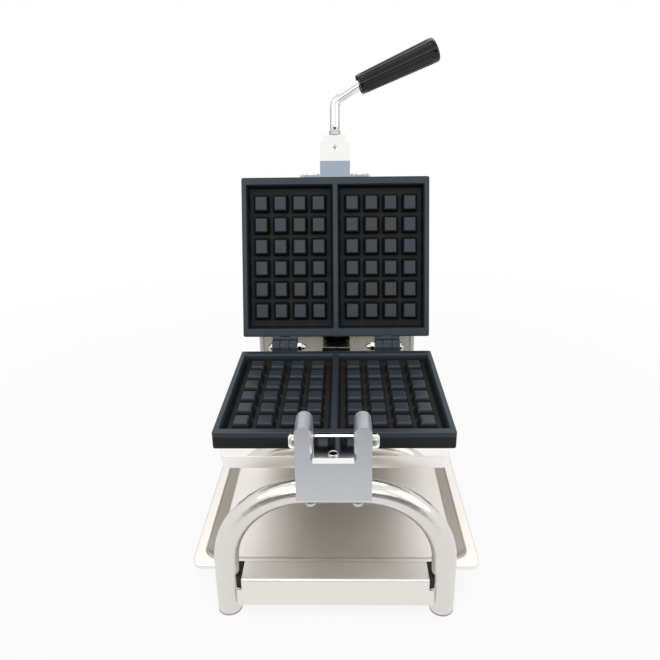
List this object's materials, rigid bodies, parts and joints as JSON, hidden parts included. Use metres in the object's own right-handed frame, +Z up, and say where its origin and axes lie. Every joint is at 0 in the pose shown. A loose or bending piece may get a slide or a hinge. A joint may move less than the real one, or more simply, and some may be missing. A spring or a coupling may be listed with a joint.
{
  "type": "turn-over waffle iron",
  "caption": "Open turn-over waffle iron: hinged studded plates with a fluted crank grip, held in a fork on a tube hoop over a drip tray, with a rear control housing.",
  "frame": {"origin": "on the worktop, at the middle of the rectangle that the open iron takes up", "axes": "+Z up, +X to the operator's right, +Y from the operator towards the rear housing"},
  "size_m": [0.308, 0.4594, 0.5695],
  "materials": {
    "polished_tube": "stainless tube, polished",
    "grey_plastic": "moulded plastic, plain",
    "brushed_sheet": "stainless sheet, hairline brushed",
    "polished_sheet": "stainless sheet, polished",
    "black_rubber": "rubber, matt",
    "cast_fork": "aluminium, satin",
    "bright_fastener": "stainless steel, bright",
    "ceramic": "glazed steatite",
    "control_body": "moulded plastic, plain",
    "turned_steel": "steel, turned",
    "black_gloss": "phenolic moulding, glossy",
    "black_matt": "moulded plastic, matt",
    "red_rocker": "moulded plastic, glossy",
    "green_lens": "clear plastic lens",
    "amber_lens": "clear plastic lens",
    "bronze": "sintered bronze",
    "coated_casting": "cast aluminium with a dark non-stick coat",
    "heater_tube": "heat-coloured steel tube",
    "mineral_wool": "pressed mineral wool",
    "chromed_rod": "chromium-plated steel"
  },
  "bodies": {
    "stand": {"front_hoop": "polished_tube", "hoop_foot_plugs": "grey_plastic", "front_crossbar": "brushed_sheet", "crossbar_pads": "black_rubber", "base_rails": "brushed_sheet", "fork_cradle": "cast_fork", "fork_bolts": "bright_fastener", "rear_housing": "brushed_sheet", "housing_back": "brushed_sheet", "housing_floor": "brushed_sheet", "rear_feet": "black_rubber", "housing_screws": "bright_fastener", "shaft_pedestal": "brushed_sheet", "terminal_block": "ceramic", "thermostat_body": "control_body", "timer_body": "control_body", "switch_body": "black_matt", "mains_lamp": "green_lens", "heat_lamp": "amber_lens", "cable_gland": "black_matt"},
    "head": {"trunnion_block": "turned_steel", "shaft_bush": "bronze", "turning_shaft": "turned_steel", "shaft_collar": "turned_steel", "shaft_arm": "polished_sheet", "arm_bolts": "bright_fastener", "lower_plate": "coated_casting", "lower_hinge_lugs": "coated_casting", "lower_casing": "polished_sheet", "lower_heater": "heater_tube", "lower_insulation": "mineral_wool", "lower_sensor": "heater_tube", "lower_casing_bolts": "bright_fastener", "lower_latch_arm": "polished_sheet", "lower_latch_screws": "bright_fastener", "locating_bush": "bright_fastener", "hinge_bolts": "bright_fastener", "hinge_nuts": "bright_fastener"},
    "lid": {"upper_plate": "coated_casting", "upper_hinge_lugs": "coated_casting", "upper_casing": "polished_sheet", "upper_heater": "heater_tube", "upper_insulation": "mineral_wool", "upper_sensor": "heater_tube", "upper_casing_bolts": "bright_fastener", "upper_latch_arm": "polished_sheet", "upper_latch_screws": "bright_fastener", "locating_pin": "bright_fastener", "handle_rod": "chromed_rod", "rod_lock_nut": "bright_fastener", "handle_grip": "black_gloss"},
    "tray": {"drip_tray": "brushed_sheet"},
    "thermostat_dial": {"thermostat_spindle": "turned_steel", "thermostat_knob": "black_gloss"},
    "timer_dial": {"timer_spindle": "turned_steel", "timer_knob": "black_gloss"},
    "mains_rocker": {"switch_rocker": "red_rocker"}
  },
  "joints": [
    {"name": "head_tilt", "type": "hinge", "parent": "stand", "child": "head", "pos_m": [0, 0.1147, 0.1995], "axis": [-1, 0, 0], "range_deg": [0, 9]},
    {"name": "lid_hinge", "type": "hinge", "parent": "head", "child": "lid", "pos_m": [0, 0.03, 0.1995], "axis": [1, 0, 0], "range_deg": [0, 107.9]},
    {"name": "tray_slide", "type": "slide", "parent": "stand", "child": "tray", "axis": [-1, 0, 0], "range_m": [0, 0.16]},
    {"name": "thermostat_turn", "type": "hinge", "parent": "stand", "child": "thermostat_dial", "pos_m": [0.109, 0.1287, 0.108], "axis": [-1, 0, 0], "range_deg": [0, 270]},
    {"name": "timer_turn", "type": "hinge", "parent": "stand", "child": "timer_dial", "pos_m": [0.109, 0.1787, 0.108], "axis": [-1, 0, 0], "range_deg": [0, 300]},
    {"name": "mains_rock", "type": "hinge", "parent": "stand", "child": "mains_rocker", "pos_m": [0.107, 0.1537, 0.062], "axis": [0, -1, 0], "range_deg": [0, 18]}
  ]
}
